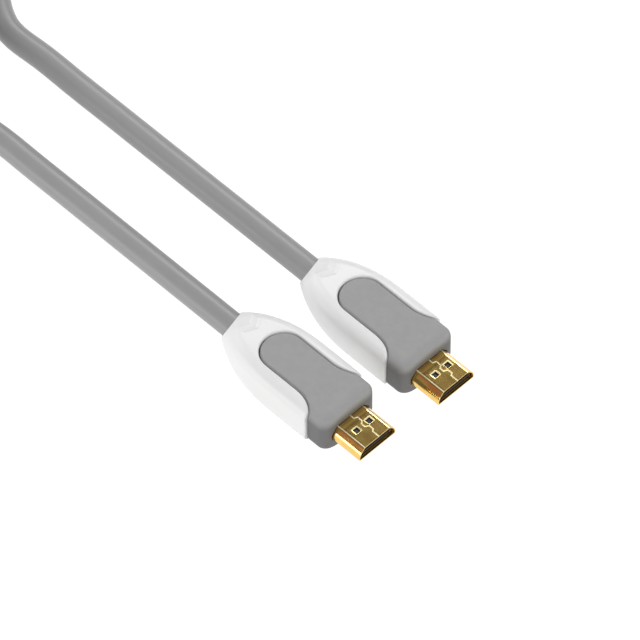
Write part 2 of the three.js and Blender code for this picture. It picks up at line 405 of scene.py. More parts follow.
WHITE = MouldedPlastic(
    "white_satin_plastic", dark=(0.755, 0.755, 0.755), light=(0.795, 0.795, 0.79), roughness=0.36,
    roughness_change=0.06, mottle_size=7 * MM, grain_size=0.20 * MM, grain_depth=0.004 * MM,
)
# The grey body gets painted shade: below its top its colour falls to 0.46 of the top's.
GREY = MouldedPlastic(
    "grey_soft_plastic", dark=(0.295, 0.295, 0.295), light=(0.36, 0.36, 0.36), roughness=0.62,
    roughness_change=0.10, mottle_size=2.2 * MM, grain_size=0.30 * MM, grain_depth=0.020 * MM,
    specular=0.35, painted_shade_factor=0.46,
)
BLACK = MouldedPlastic(
    "black_insulator_plastic", dark=(0.012, 0.013, 0.016), light=(0.022, 0.023, 0.027), roughness=0.45,
    roughness_change=0.10, mottle_size=2 * MM, grain_size=0.15 * MM, grain_depth=0.004 * MM,
)
GOLD = GoldPlate("gold_plate")
CONTACT_GOLD = GoldPlate(
    "contact_gold_plate", dark=(0.62, 0.46, 0.20), light=(0.85, 0.66, 0.32), roughness=0.22
)
JACKET = VinylJacket("grey_vinyl_jacket", dark=(0.27, 0.27, 0.27), light=(0.30, 0.30, 0.30))


# Meshes


def linked(name: str, data: bpy.types.ID) -> bpy.types.Object:
    """Makes an object in the scene.

    Args:
        name: the object's name.
        data: its mesh, light or camera.

    Returns:
        The object, at the origin.
    """
    made = bpy.data.objects.new(name, data)
    bpy.context.scene.collection.objects.link(made)
    return made


def grid_quads(rows: int, columns: int, wrap: bool = False) -> Array:
    """Quads between the points of a grid that is stored row by row.

    Args:
        rows: how many rows of points.
        columns: how many points in a row.
        wrap: whether a row closes on itself.

    Returns:
        Four point numbers for each quad.
    """
    start = np.arange(rows - 1)[:, None] * columns
    here = np.arange(columns if wrap else columns - 1)[None, :]
    after = (here + 1) % columns
    quads = [start + here, start + after, start + after + columns, start + here + columns]
    return np.stack(quads, -1).reshape(-1, 4)


class Skin:
    """A mesh that is gathered from grids of points."""

    def __init__(self) -> None:
        """Starts with no points."""
        self.points: list[Array] = []
        self.faces: list[Array] = []
        self.count = 0

    def add(self, grid: Array, wrap: bool = False, keep: Array | None = None) -> None:
        """Adds a grid of points with quads between them.

        Args:
            grid: rows by columns by three.
            wrap: whether each row closes on itself.
            keep: one truth value for each quad, or every quad is kept.
        """
        rows, columns = grid.shape[:2]
        quads = grid_quads(rows, columns, wrap)
        if keep is not None:
            quads = quads[keep.reshape(-1)]
        self.points.append(grid.reshape(-1, 3))
        self.faces.append(quads + self.count)
        self.count += rows * columns

    def make(
        self,
        name: str,
        merge: float,
        sharp_degrees: float,
        uv: Array | None = None,
        stored: Mapping[str, Array] | None = None,
    ) -> bpy.types.Object:
        """Makes the object, with its doubles merged and its faces pointing out.

        Args:
            name: the object's name.
            merge: points nearer than this become one.
            sharp_degrees: edges that turn more than this are shown sharp.
            uv: two numbers for each point, or None for no UV map.
            stored: named values, one for each point.

        Returns:
            The object, at the origin.
        """
        used, faces = np.unique(np.concatenate(self.faces), return_inverse=True)
        mesh = bpy.data.meshes.new(name)
        mesh.from_pydata(np.concatenate(self.points)[used].tolist(), [], faces.reshape(-1, 4).tolist())
        for key, values in (stored or {}).items():
            layer = mesh.attributes.new(key, "FLOAT", "POINT")
            layer.data.foreach_set("value", values[used].astype(np.float32))
        if uv is not None:
            layer = mesh.uv_layers.new(name=UV_MAP)
            corner = np.empty(len(mesh.loops), np.int32)
            mesh.loops.foreach_get("vertex_index", corner)
            layer.data.foreach_set("uv", uv[used][corner].astype(np.float32).ravel())
        shape = bmesh.new()
        shape.from_mesh(mesh)
        bmesh.ops.remove_doubles(shape, verts=shape.verts, dist=merge)
        bmesh.ops.recalc_face_normals(shape, faces=shape.faces)
        shape.to_mesh(mesh)
        shape.free()
        mesh.shade_smooth()
        mesh.set_sharp_from_angle(angle=np.radians(sharp_degrees))
        return linked(name, mesh)


def dress(piece: bpy.types.Object, material: bpy.types.Material, slot: Slot, *nodes: str) -> None:
    """Gives a piece its material and body, and hides the nodes that it stands for.

    Args:
        piece: the piece.
        material: its material.
        slot: not used.
        nodes: the CAD nodes that it replaces.
    """
    piece.data.materials.clear()
    piece.data.materials.append(material)
    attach(piece, "root")
    if nodes:
        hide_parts(*nodes)
    log.info("%s: %d faces", piece.name, len(piece.data.polygons))


def steps(*stretches: tuple[float, float, int]) -> Array:
    """Places along a line.

    Args:
        stretches: where each stretch starts, where it ends and how many steps it has.

    Returns:
        The places, from the first start to the last end.
    """
    parts = [np.linspace(start, end, count, endpoint=False) for start, end, count in stretches]
    return np.concatenate([*parts, [stretches[-1][1]]])


def smooth(share: Array) -> Array:
    """A share from 0 to 1 that starts and ends level."""
    return share * share * (3 - 2 * share)


def rounded_drop(distance: Array, radius: float) -> Array:
    """How far a rounded edge falls below its face: radius minus the height of a quarter circle.

    Args:
        distance: how far each point is from the edge.
        radius: the rounding's radius.

    Returns:
        The drop of each point.
    """
    inside = np.clip(radius - distance, 0.0, radius)
    return radius - np.sqrt(radius**2 - inside**2)


@dataclass(frozen=True)
class Section:
    """Upright rectangles with round corners, one for each station along the plug."""

    half_width: Array
    half_height: Array
    radius: Array

    def lengths(self) -> tuple[Array, Array, Array]:
        """The lengths of half a flat top, of a corner and of half a flat side."""
        return self.half_width - self.radius, np.pi / 2 * self.radius, self.half_height - self.radius

    def at(self, along: Array) -> tuple[Array, Array, Array, Array]:
        """Points at distances round the outline, from the middle of the top over the +y side to the bottom.

        Args:
            along: the distances, stations by points.

        Returns:
            y and z, and the outward normal's y and z.
        """
        top, corner, side = self.lengths()
        whole = 2 * (top + corner + side)
        below = along > whole / 2
        s = np.where(below, whole - along, along)
        angle = np.clip((s - top) / self.radius, 0.0, np.pi / 2)
        y = np.minimum(s, top) + self.radius * np.sin(angle)
        z = side + self.radius * np.cos(angle) - np.maximum(s - top - corner, 0.0)
        sign = np.where(below, -1.0, 1.0)
        return y, sign * z, np.sin(angle), sign * np.cos(angle)

    def reach(self, y: Array) -> Array:
        """How far round the outline the point with this y is, on the top or its corner."""
        top = self.lengths()[0]
        over = np.clip((y - top) / self.radius, 0.0, 1.0)
        return np.minimum(y, top) + self.radius * np.arcsin(over)


# The plug


@dataclass(frozen=True)
class Housing:
    """Sizes of a plug's white cover and grey body, in the plug frame."""

    half_width: float
    half_height: float
    reach: float = 39.6 * MM
    corner: float = 4.0 * MM
    mouth_half: float = 4.45 * MM
    mouth_inset: float = 0.25 * MM
    mouth_slant: float = 0.41
    mouth_lean: float = 0.22
    mouth_fade: float = 10 * MM
    neck: float = 27 * MM
    crown: float = 20 * MM
    fullness: float = 2.5
    window_half: float = 6.8 * MM
    window_rear: float = 13.6 * MM
    flare: float = 7.6 * MM
    gap: float = 0.3 * MM
    body_front: float = 46.3 * MM
    body_half_width: float = 10.05 * MM
    body_half_height: float = 7.1 * MM
    body_corner: float = 3.4 * MM
    nose_round: float = 2.8 * MM
    nose_drop: float = 1.3 * MM
    least: float = 1e-6  # keeps divisions finite

    def growth(self, x: Array, length: float) -> Array:
        """The bullet shape: 1 minus (1 minus x over the length) to a power, held at 1 past the length."""
        return 1 - (1 - np.clip(x / length, 0.0, 1.0)) ** self.fullness

    def cover(self, x: Array) -> Section:
        """The cover's outside at stations x."""
        wide, tall = self.growth(x, self.neck), self.growth(x, self.crown)
        half_height = self.mouth_half + (self.half_height - self.mouth_half) * tall
        inset = self.mouth_inset + (self.half_height - self.corner - self.mouth_inset) * wide
        half_width = self.mouth_half + (self.half_width - self.mouth_half) * wide
        return Section(half_width, half_height, half_height - inset)

    def body(self, x: Array) -> Section:
        """The grey body's outside at stations x: the cover's, then its own, rounded at the nose."""
        cover = self.cover(x)
        own = smooth(np.clip((x - self.reach + self.flare) / self.flare, 0.0, 1.0))
        nose = np.clip((x - self.body_front + self.nose_round) / self.nose_round, 0.0, 1.0)
        turn = 1 - np.sqrt(1 - nose**2)
        half_width = cover.half_width + (self.body_half_width - cover.half_width) * own
        half_width = half_width - self.nose_round * turn
        half_height = cover.half_height + (self.body_half_height - cover.half_height) * own
        half_height = half_height - self.nose_drop * turn
        radius = cover.radius + (self.body_corner - cover.radius) * own
        return Section(half_width, half_height, np.minimum(radius, half_width - self.mouth_inset))

    def window(self, clearance: float) -> tuple[float, float, float]:
        """The window's half width, the centre of its round end and the start of its flare.

        Args:
            clearance: how much smaller the window is all round.

        Returns:
            The three lengths.
        """
        half = self.window_half - clearance
        return half, self.window_rear + clearance + half, self.reach + clearance - self.flare

    def along_window(
        self, clearance: float, arc: int, straight: int, *flare: tuple[float, float, int]
    ) -> Array:
        """Places along the window, close together at its round end and at the arms' ends.

        Args:
            clearance: how much smaller the window is all round.
            arc: how many steps the round end has.
            straight: how many steps the straight part has.
            flare: the stretches of the flare, in degrees of its quarter ellipse.

        Returns:
            The places.
        """
        half, centre, start = self.window(clearance)
        bend = centre - half * np.cos(np.radians(steps((0.0, 90.0, arc))))
        opened = start + self.flare * np.sin(np.radians(steps(*flare)))
        return np.concatenate([bend, steps((centre, start, straight))[1:], opened[1:]])

    def window_edge(self, x: Array, clearance: float) -> Array:
        """Half the window's width at stations x: a half circle, straight, then a quarter ellipse.

        Args:
            x: the stations.
            clearance: how much narrower all round.

        Returns:
            y of the edge.
        """
        half, centre, start = self.window(clearance)
        round_end = np.sqrt(np.clip(half**2 - np.clip(centre - x, 0.0, half) ** 2, 0.0, None))
        ahead = np.clip((x - start) / self.flare, 0.0, 1.0)
        flared = self.half_width - (self.half_width - half) * np.sqrt(1 - ahead**2)
        return np.where(x < centre, np.where(x < centre - half, 0.0, round_end), flared)

    def beyond_window(self, x: Array, y: Array, clearance: float) -> Array:
        """Distance from the window's edge, positive over the cover and negative in the window.

        Args:
            x: places along the plug.
            y: places across it.
            clearance: how much smaller the window is all round.

        Returns:
            The distances.
        """
        half, centre, start = self.window(clearance)
        behind = np.hypot(np.minimum(x - centre, 0.0), y) - half
        tall = self.half_width - half
        across = np.clip(self.half_width - np.abs(y), 0.0, None)
        ahead = np.maximum(x - start, 0.0)
        level = np.maximum(np.hypot(ahead / self.flare, across / tall), self.least)
        slope = np.maximum(np.hypot(ahead / self.flare**2, across / tall**2), self.least)
        flared = (1 - level) * level / slope
        return np.where(x < start, behind, flared)


@dataclass(frozen=True)
class Chevrons:
    """The two raised chevrons on the neck, which point to the connector."""

    tips: tuple[float, float] = (6.0 * MM, 9.1 * MM)
    middle: float = 0.6 * MM
    sweep: float = 0.62
    half_span: float = 3.5 * MM
    half_bar: float = 0.32 * MM
    softness: float = 0.35 * MM
    height: float = 0.22 * MM

    def relief(self, x: Array, y: Array) -> Array:
        """How far the surface is raised: full within half a bar of a V's line, soft beyond it.

        Args:
            x: places along the plug.
            y: places across it.

        Returns:
            The heights.
        """
        raised = np.zeros_like(x)
        lean = 1 / np.hypot(1.0, self.sweep)
        y = y - self.middle
        ends = np.clip((self.half_span - np.abs(y)) / self.softness, 0.0, 1.0)
        for tip in self.tips:
            distance = np.abs(x - tip + self.sweep * np.abs(y)) * lean
            bar = np.clip((self.half_bar + self.softness - distance) / self.softness, 0.0, 1.0)
            raised = np.maximum(raised, smooth(bar) * ends)
        return raised * self.height


@dataclass(frozen=True)
class Cover:
    """The white cover: a bullet-shaped neck and two arms round the windows."""

    sizes: Housing
    chevrons: Chevrons = Chevrons()
    wall: float = 1.6 * MM
    mouth_wall: float = 0.5 * MM
    wall_grows: float = 9 * MM
    edge_round: float = 0.55 * MM
    mouth_round: float = 0.45 * MM
    lip: float = 0.6 * MM
    lip_end: float = 3 * MM
    chevrons_face: float = 0.3  # they are on faces that point up by at least this
    rim_points: int = 5
    merge: float = 0.004 * MM
    sharp_degrees: float = 42.0

    def stations(self) -> Array:
        """Places along the plug, close together where the outline turns."""
        rear = self.sizes.window_rear
        bend = rear - self.edge_round
        neck = steps((0.0, self.lip, 6), (self.lip, self.lip_end, 8), (self.lip_end, bend, 52),
                     (bend, rear, 7))
        window = self.sizes.along_window(0.0, 34, 18, (0.0, 66.0, 16), (66.0, 90.0, 14))
        return np.concatenate([neck, window[1:]])

    def across(self) -> Array:
        """Shares of the way round from the window's upper edge to its lower one."""
        upper = steps((0.0, 0.02, 7), (0.02, 0.25, 26), (0.25, 0.5, 14))
        return np.concatenate([upper, 1 - upper[-2::-1]])

    def grid(self, x: Array, inner: bool, side: int) -> Array:
        """One side's surface on a grid of stations and shares of the way round.

        Args:
            x: the stations.
            inner: whether it is the inside of the wall.
            side: 1 for the side to +y, -1 for the side to -y.

        Returns:
            Stations by shares by three.
        """
        s = self.sizes
        x = x[:, None]
        outside = s.cover(x)
        edge = s.window_edge(x, 0.0)
        grown = s.growth(x, self.wall_grows)
        wall = self.mouth_wall + (self.wall - self.mouth_wall) * grown
        top, corner, upright = outside.lengths()
        first = np.minimum(outside.reach(edge), top + corner)
        last = 2 * (top + corner + upright) - first
        along = first + (last - first) * self.across()[None, :]
        y, z, out_y, out_z = outside.at(along)
        spread = x + 0 * y
        lift = self.chevrons.relief(spread, side * y) * (out_z > self.chevrons_face)
        drop = rounded_drop(s.beyond_window(spread, y, 0.0), self.edge_round)
        drop = np.maximum(drop, rounded_drop(spread, self.mouth_round))
        shift = -wall if inner else lift - drop
        forward = (1 - s.growth(x, s.mouth_fade)) * (s.mouth_slant * z - s.mouth_lean * side * y)
        at_edge = np.isclose(along, first) | np.isclose(along, last)
        new_y = np.where(at_edge, y, y + shift * out_y)
        return np.stack([spread + forward, side * new_y, z + shift * out_z], -1)

    def make(self, name: str, place: Array) -> bpy.types.Object:
        """Builds the cover.

        Args:
            name: the piece's name.
            place: where the plug frame's origin goes.

        Returns:
            The piece.
        """
        x = self.stations()
        blend = np.linspace(0.0, 1.0, self.rim_points)[:, None, None]
        first_open = int(np.searchsorted(x, self.sizes.window_rear + TINY)) - 1
        skin = Skin()
        for side in (1, -1):
            outer, inner = (self.grid(x, inside, side) + place for inside in (False, True))
            skin.add(outer)
            skin.add(inner)
            for rim in (
                (slice(first_open, None), 0),
                (slice(first_open, None), -1),
                (-1,),
                (0,),
            ):
                skin.add(outer[rim] * (1 - blend) + inner[rim] * blend)
        return skin.make(name, self.merge, self.sharp_degrees)


@dataclass(frozen=True)
class ShellOutline:
    """The connector shell's outline in y and z, with its narrow side up."""

    half_width: float = 6.95 * MM
    half_height: float = 2.225 * MM
    narrow_half: float = 4.95 * MM
    shoulder: float = -0.1 * MM
    corner: float = 0.55 * MM
    shoulder_round: float = 1.3 * MM
    corner_steps: int = 6
    side_steps: int = 6
    narrow_grows: float = 0.6  # shares of the growth that a slanted side leaves to its two ends
    shoulder_grows: float = 0.3

    def corners(self, grow: float = 0.0) -> Array:
        """The six sharp corners from the narrow side's left end round by its right end.

        Args:
            grow: how far the outline is moved out.

        Returns:
            y and z of each corner.
        """
        wide, high = self.half_width + grow, self.half_height + grow
        narrow = self.narrow_half + grow * self.narrow_grows
        shoulder = self.shoulder + grow * self.shoulder_grows
        right = [[narrow, high], [wide, shoulder], [wide, -high]]
        return np.array([[-narrow, high], *right, [-wide, -high], [-wide, shoulder]])

    def ring(self, top: Array) -> Array:
        """Points round the outline, starting on the narrow side.

        Args:
            top: the points' y on the narrow side, which run from one rounding to the other.

        Returns:
            The closed ring's y and z.
        """
        sharp = self.corners()
        count = len(sharp)
        rounding = [self.corner] * 2 + [self.shoulder_round, self.corner, self.corner, self.shoulder_round]
        turn = np.linspace(0.0, 1.0, self.corner_steps + 1)[:, None]
        share = np.linspace(0.0, 1.0, self.side_steps + 1)[1:-1, None]

        def toward(number: int, other: int) -> Array:
            """Where the rounding of a corner ends on its way to another corner."""
            here, there = sharp[number % count], sharp[other % count]
            return here + (there - here) / np.linalg.norm(there - here) * rounding[number % count]

        points = [np.stack([top, np.full_like(top, self.half_height)], -1)]
        for k in range(1, count + 1):
            start, end = toward(k, k - 1), toward(k, k + 1)
            bend = (1 - turn) ** 2 * start + 2 * turn * (1 - turn) * sharp[k % count] + turn**2 * end
            points.append(bend if k > 1 else bend[1:])
            if k < count:
                points.append(end * (1 - share) + toward(k + 1, k) * share)
        return np.concatenate(points)[:-1]

    def radial(self, angle: Array, grow: float) -> Array:
        """Points where rays from the middle meet the outline, moved out.

        Args:
            angle: the rays' angles from +y.
            grow: how far the outline is moved out.

        Returns:
            y and z of each point.
        """
        sharp = self.corners(grow)
        ray = np.stack([np.cos(angle), np.sin(angle)], -1)
        nearest = np.full(len(angle), np.inf)
        for here, after in zip(sharp, np.roll(sharp, -1, axis=0)):
            edge = after - here
            normal = np.array([-edge[1], edge[0]])
            normal = normal * np.sign(normal @ here)
            facing = ray @ normal
            length = np.where(facing > TINY, (here @ normal) / np.maximum(facing, TINY), np.inf)
            nearest = np.minimum(nearest, length)
        return ray * nearest[:, None]


@dataclass(frozen=True)
class Body:
    """The grey body: raised in the window, full size past the arms, with a socket for the shell."""

    sizes: Housing
    outline: ShellOutline
    edge_round: float = 0.9 * MM
    socket_depth: float = 2.2 * MM
    socket_gap: float = 0.22 * MM
    least_fall: float = 0.3  # a rounded edge falls at least by this share of its drop
    wall_steps: int = 8
    face_steps: int = 8
    socket_steps: int = 3
    floor_share: float = 0.5  # where the socket's floor has a ring between its edge and its middle
    merge: float = 0.004 * MM
    sharp_degrees: float = 38.0

    def stations(self) -> Array:
        """Places along the plug, close together at the round end, the flare and the nose."""
        s = self.sizes
        nose = s.body_front - s.nose_round
        window = s.along_window(s.gap, 40, 20, (0.0, 60.0, 16), (60.0, 90.0, 24))
        ahead = steps((s.reach + s.gap, nose, 8))[1:]
        turned = nose + s.nose_round * np.sin(np.radians(steps((0.0, 90.0, 12))))[1:]
        return np.concatenate([window, ahead, turned])

    def quarter(self, x: Array) -> Array:
        """The quarter where y and z are positive: over the top to the window's edge, then straight down.

        Args:
            x: the stations.

        Returns:
            Stations by points by three, from the top's middle to the side's middle.
        """
        s = self.sizes
        x = x[:, None]
        outside = s.body(x)
        top, corner, side = outside.lengths()
        edge = np.where(x < s.reach + s.gap, s.window_edge(x, s.gap), outside.half_width)
        edge = np.minimum(edge, outside.half_width)
        cut = np.minimum(outside.reach(edge), top + corner)
        share = steps((0.0, 0.7, 8), (0.7, 0.9, 6), (0.9, 1.0, 10))[None, :]
        y, z, _, out_z = outside.at(cut * share)
        spread = x + 0 * y
        near = np.maximum(-s.beyond_window(spread, y, s.gap), 0.0)
        drop = np.where(spread < s.reach + s.gap, rounded_drop(near, self.edge_round), 0.0)
        over = np.stack([spread, y, z - drop * np.maximum(out_z, self.least_fall)], -1)
        wall = np.repeat(over[:, -1:], self.wall_steps, 1)
        wall[..., 2] *= np.linspace(1.0, 0.0, self.wall_steps + 1)[1:]
        return np.concatenate([over, wall], 1)

    def make(self, name: str, place: Array) -> bpy.types.Object:
        """Builds the body.

        Args:
            name: the piece's name.
            place: where the plug frame's origin goes.

        Returns:
            The piece.
        """
        part = self.quarter(self.stations())
        right = np.concatenate([part, part[:, -2::-1] * np.array([1, 1, -1])], 1)
        left = right[:, -2:0:-1] * np.array([1, -1, 1])
        rings = np.concatenate([right, left], 1)
        rim = rings[-1]
        angle = np.arctan2(rim[:, 2], rim[:, 1])
        flat = self.outline.radial(angle, self.socket_gap)
        mouth = np.concatenate([np.full((len(flat), 1), self.sizes.body_front), flat], 1)
        share = np.linspace(0.0, 1.0, self.face_steps + 1)[1:, None, None]
        face = rim * (1 - share) + mouth * share
        depth = np.linspace(0.0, 1.0, self.socket_steps + 1)[1:, None, None]
        socket = mouth - depth * np.array([self.socket_depth, 0, 0])
        floor, pole = (socket[-1:] * np.array([1.0, inward, inward]) for inward in (self.floor_share, 0.0))
        skin = Skin()
        skin.add(np.concatenate([rings, face, socket, floor, pole]) + place, wrap=True)
        return skin.make(name, self.merge, self.sharp_degrees)


@dataclass(frozen=True)
class Shell:
    """The gold-plated shell: folded sheet with a wavy seam and square latch holes."""

    outline: ShellOutline
    rear: float = 43.1 * MM
    tip: float = 56.6 * MM
    wall: float = 0.3 * MM
    latch: float = 1.8 * MM
    latch_back: float = 5.6 * MM
    latch_half_span: float = 2.4 * MM
    seam_width: float = 0.13 * MM
    seam_depth: float = 0.10 * MM
    # Half widths and soft edges of the painted highlight lines along the seam, the latch holes and the
    # folds.
    highlight_half: float = 0.15 * MM
    highlight_soft: float = 0.06 * MM
    fold_inset: float = 0.10 * MM
    fold_highlight_half: float = 0.16 * MM
    rim_bevel: float = 0.07 * MM
    bevel_degrees: float = 55.0
    seam_left: float = -0.45 * MM
    seam_rear: float = 47 * MM
    tip_band: float = 0.2 * MM
    on_face: float = 0.001 * MM  # points nearer to a flat face than this are on it
    merge: float = 0.002 * MM
    sharp_degrees: float = 50.0
    seam: tuple[tuple[float, float], ...] = (
        (43.0, 0.0), (47.6, 0.0), (48.0, 1.05), (49.7, 1.05), (50.4, 0.15), (51.6, 0.15), (52.2, 1.25),
        (53.8, 1.25), (54.2, 0.55), (57.0, 0.55),
    )

    @staticmethod
    def distance(x: Array, y: Array, line: Array) -> Array:
        """Distance of points from a line, the least over its stretches.

        Args:
            x: the points' places along the plug.
            y: the points' places across it.
            line: the line's corners.

        Returns:
            The distances.
        """
        nearest = np.full(x.shape, np.inf)
        for start, end in zip(line[:-1], line[1:]):
            run = end - start
            share = np.clip(((x - start[0]) * run[0] + (y - start[1]) * run[1]) / (run @ run), 0.0, 1.0)
            foot = start + share[..., None] * run
            nearest = np.minimum(nearest, np.hypot(x - foot[..., 0], y - foot[..., 1]))
        return nearest

    def latch_edges(self) -> list[Array]:
        """The lines of painted highlight along two edges of each latch hole: the side away from the tip and
        the side to +y.
        """
        centre, half, out = self.tip - self.latch_back, self.latch / 2, self.highlight_half
        edges = []
        for side in (-1, 1):
            middle = side * self.latch_half_span
            edges.append(np.array([
                (centre - half - out, middle - half),
                (centre - half - out, middle + half + out),
                (centre + half, middle + half + out),
            ]))
        return edges

    def stroke(self, distance: Array, half: float) -> Array:
        """1 within half a stroke's width of its line, and 0 beyond its soft edge.

        Args:
            distance: how far each point is from the line.
            half: half the stroke's width.

        Returns:
            The stroke's strength at each point.
        """
        return np.clip((half + self.highlight_soft - distance) / self.highlight_soft, 0.0, 1.0)

    def on_flat(self, z: Array) -> Array:
        """Whether points at these heights are on the narrow side's face."""
        return np.isclose(z, self.outline.half_height, rtol=0, atol=self.on_face)

    def latch_span(self) -> tuple[float, float]:
        """How far from the middle line a latch hole starts and ends."""
        return self.latch_half_span - self.latch / 2, self.latch_half_span + self.latch / 2

    def latch_reach(self) -> tuple[float, float]:
        """Where along the plug the latch holes start and end."""
        centre = self.tip - self.latch_back
        return centre - self.latch / 2, centre + self.latch / 2

    def stations(self) -> Array:
        """Places along the plug, close together where the seam and the latch holes are."""
        low, high = self.latch_reach()
        band = self.tip - self.tip_band
        return steps((self.rear, self.seam_rear, 16), (self.seam_rear, low, 48), (low, high, 28),
                     (high, band, 68), (band, self.tip, 2))

    def ring(self) -> Array:
        """The outline's points, close together on the narrow side where the seam and the holes are."""
        near, far = self.latch_span()
        flat = self.outline.narrow_half - self.outline.corner
        right = steps((near, far, 8), (far, flat, 5))
        middle = steps((self.seam_left, near, 30))
        left = steps((-flat, -far, 5), (-far, -near, 8), (-near, self.seam_left, 3))
        return self.outline.ring(np.concatenate([left[:-1], middle[:-1], right]))

    def holes(self, x: Array, ring: Array) -> Array:
        """Which quads lie in a latch hole.

        Args:
            x: the stations.
            ring: the outline's points.

        Returns:
            One truth value for each quad, rows along the plug.
        """
        low, high = self.latch_reach()
        near, far = self.latch_span()
        mid_x = (x[:-1] + x[1:]) / 2
        mid_y = np.abs(ring[:, 0] + np.roll(ring[:, 0], -1)) / 2
        flat_edge = self.on_flat(ring[:, 1])
        in_x = (mid_x > low) & (mid_x < high)
        in_y = (mid_y > near) & (mid_y < far) & flat_edge & np.roll(flat_edge, -1)
        return in_x[:, None] & in_y[None, :]

    def thicken(self, piece: bpy.types.Object) -> None:
        """Gives the sheet its thickness and its edges a small bevel.

        Args:
            piece: the shell.
        """
        sheet = piece.modifiers.new("sheet", "SOLIDIFY")
        sheet.thickness = self.wall
        sheet.offset = -1.0
        rim = piece.modifiers.new("rim", "BEVEL")
        rim.width = self.rim_bevel
        rim.segments = 2
        rim.limit_method = "ANGLE"
        rim.angle_limit = np.radians(self.bevel_degrees)

    def make(self, name: str, place: Array) -> bpy.types.Object:
        """Builds the shell.

        Args:
            name: the piece's name.
            place: where the plug frame's origin goes.

        Returns:
            The piece.
        """
        stations, ring = self.stations(), self.ring()
        x = np.repeat(stations[:, None], len(ring), 1)
        y, z = (np.repeat(ring[None, :, axis], len(stations), 0) for axis in (0, 1))
        on_top = self.on_flat(z)
        to_seam = self.distance(x, y, np.array(self.seam) * MM)
        to_latches = [self.distance(x, y, edge) for edge in self.latch_edges()]
        fold = np.array([self.outline.narrow_half, self.outline.half_height]) - self.fold_inset
        to_fold = np.hypot(np.abs(y) - fold[0], z - fold[1])
        # Painted highlight: lighter, rougher lines stored on the mesh along the seam and latch edges on the
        # narrow side and along the folds.
        highlight = self.stroke(np.minimum.reduce([to_seam, *to_latches]), self.highlight_half) * on_top
        highlight = np.maximum(highlight, self.stroke(to_fold, self.fold_highlight_half))
        groove = np.clip((self.seam_width - to_seam) / self.seam_width, 0.0, 1.0)
        z = z - np.where(on_top, self.seam_depth * smooth(groove), 0.0)
        skin = Skin()
        skin.add(np.stack([x, y, z], -1) + place, wrap=True, keep=~self.holes(stations, ring))
        piece = skin.make(name, self.merge, self.sharp_degrees, stored={EDGE_HIGHLIGHT: highlight.ravel()})
        self.thicken(piece)
        return piece


@dataclass(frozen=True)
class Plug:
    """One plug: its cover, body and shell, and the finish of its insulator and contacts."""

    letter: str

    def node(self, part: str) -> str:
        """The name of one of this plug's nodes."""
        return f"plug_{self.letter}_{part}"

    def fitted(self) -> tuple[Housing, Array]:
        """The housing's sizes, and the middle of its mouth in the frame, from the cover's box."""
        low, high = (np.array(corner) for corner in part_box(self.node("cover")))
        half, middle = (high - low) / 2, (high + low) / 2
        sizes = Housing(half_width=half[1], half_height=half[2])
        return sizes, np.array([high[0] - sizes.reach, middle[1], middle[2]])

    def build(
        self, nodes: Mapping[str, bpy.types.Object], finishes: Mapping[Slot, bpy.types.Material]
    ) -> None:
        """Builds and dresses the plug.

        Args:
            nodes: the frame's nodes.
            finishes: the material of each slot.
        """
        sizes, place = self.fitted()
        outline = ShellOutline()
        for maker, part, slot in (
            (Cover(sizes), "cover", Slot.COVER),
            (Body(sizes, outline), "body", Slot.BODY),
            (Shell(outline), "shell", Slot.SHELL),
        ):
            name = self.node(part)
            dress(maker.make(f"{name}_look", place), finishes[slot], slot, name)
        for name, piece in nodes.items():
            if name == self.node("insulator"):
                self.repaint(piece, finishes[Slot.INSULATOR])
            elif name.startswith(self.node("contact")):
                self.repaint(piece, finishes[Slot.CONTACTS])

    @staticmethod
    def repaint(piece: bpy.types.Object, material: bpy.types.Material) -> None:
        """Gives a CAD node a material."""
        piece.data.materials.clear()
        piece.data.materials.append(material)


# The lead


